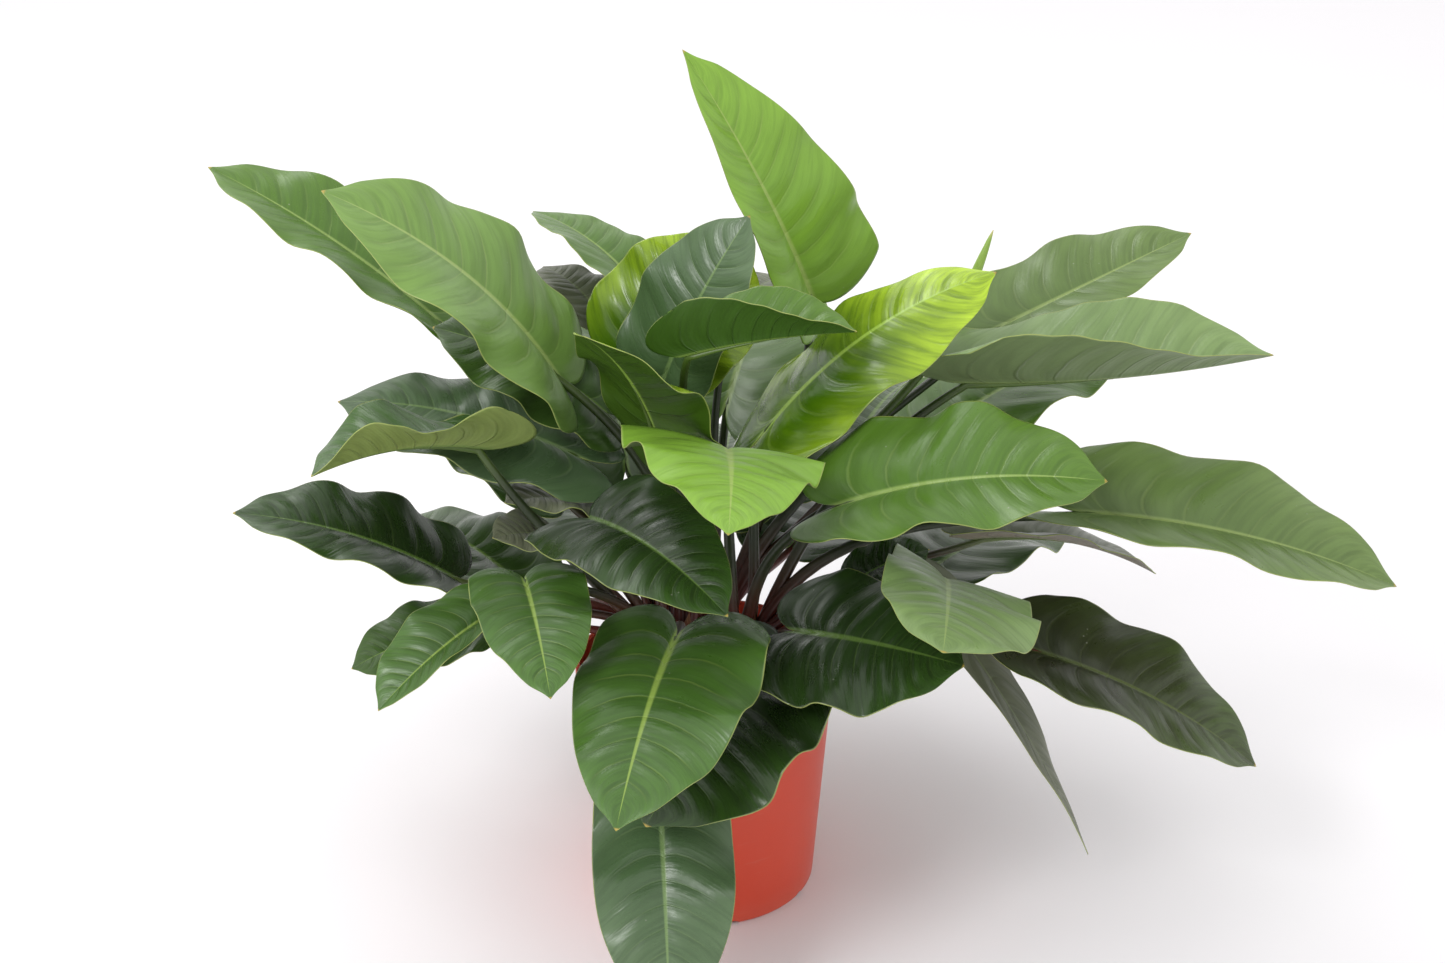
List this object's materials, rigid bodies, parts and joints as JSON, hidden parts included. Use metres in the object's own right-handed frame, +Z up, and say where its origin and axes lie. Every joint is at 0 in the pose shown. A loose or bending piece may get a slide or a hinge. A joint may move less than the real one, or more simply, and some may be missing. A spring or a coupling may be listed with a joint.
{
  "type": "potted foliage plant",
  "caption": "Bushy imperial green philodendron with broad glossy heart-based leaves on long stalks, standing in a plain terracotta-red plastic nursery pot.",
  "frame": {"origin": "middle of the pot's flat base, on the surface that it stands on", "axes": "+Z up; the plant's best side faces -Y; the plant is widest along X"},
  "size_m": [1.1004, 0.8405, 0.8052],
  "materials": {
    "pot_plastic": "satin terracotta-red polypropylene",
    "potting_mix": "loose dark peat and bark",
    "petiole_green": "smooth satin green stalk, maroon at the foot",
    "leaf_lime": "glossy young lime-green leaf",
    "leaf_mid": "satin mid-green leathery leaf",
    "leaf_deep": "glossy deep-green leathery leaf",
    "leaf_dusky": "satin grey-green leaf"
  },
  "bodies": {
    "root": {"pot": "pot_plastic", "soil": "potting_mix", "stems": "petiole_green", "spear": "leaf_lime", "leaf_01": "leaf_mid", "leaf_02": "leaf_mid", "leaf_03": "leaf_deep", "leaf_04": "leaf_mid", "leaf_05": "leaf_lime", "leaf_06": "leaf_deep", "leaf_07": "leaf_mid", "leaf_08": "leaf_lime", "leaf_09": "leaf_mid", "leaf_10": "leaf_lime", "leaf_11": "leaf_mid", "leaf_12": "leaf_mid", "leaf_13": "leaf_mid", "leaf_14": "leaf_mid", "leaf_15": "leaf_dusky", "leaf_16": "leaf_deep", "leaf_17": "leaf_dusky", "leaf_18": "leaf_mid", "leaf_19": "leaf_deep", "leaf_20": "leaf_deep", "leaf_21": "leaf_deep", "leaf_22": "leaf_deep", "leaf_23": "leaf_deep", "leaf_24": "leaf_deep", "leaf_25": "leaf_dusky", "leaf_26": "leaf_deep", "leaf_27": "leaf_deep", "leaf_28": "leaf_deep", "leaf_29": "leaf_mid", "leaf_30": "leaf_deep", "leaf_31": "leaf_dusky", "leaf_32": "leaf_dusky", "leaf_33": "leaf_mid", "leaf_34": "leaf_deep", "leaf_35": "leaf_dusky", "leaf_36": "leaf_dusky", "leaf_37": "leaf_deep", "leaf_38": "leaf_mid", "leaf_39": "leaf_deep", "leaf_40": "leaf_deep", "leaf_41": "leaf_mid", "leaf_42": "leaf_deep", "leaf_43": "leaf_deep", "leaf_44": "leaf_deep", "leaf_45": "leaf_deep", "leaf_46": "leaf_deep"}
  },
  "joints": []
}
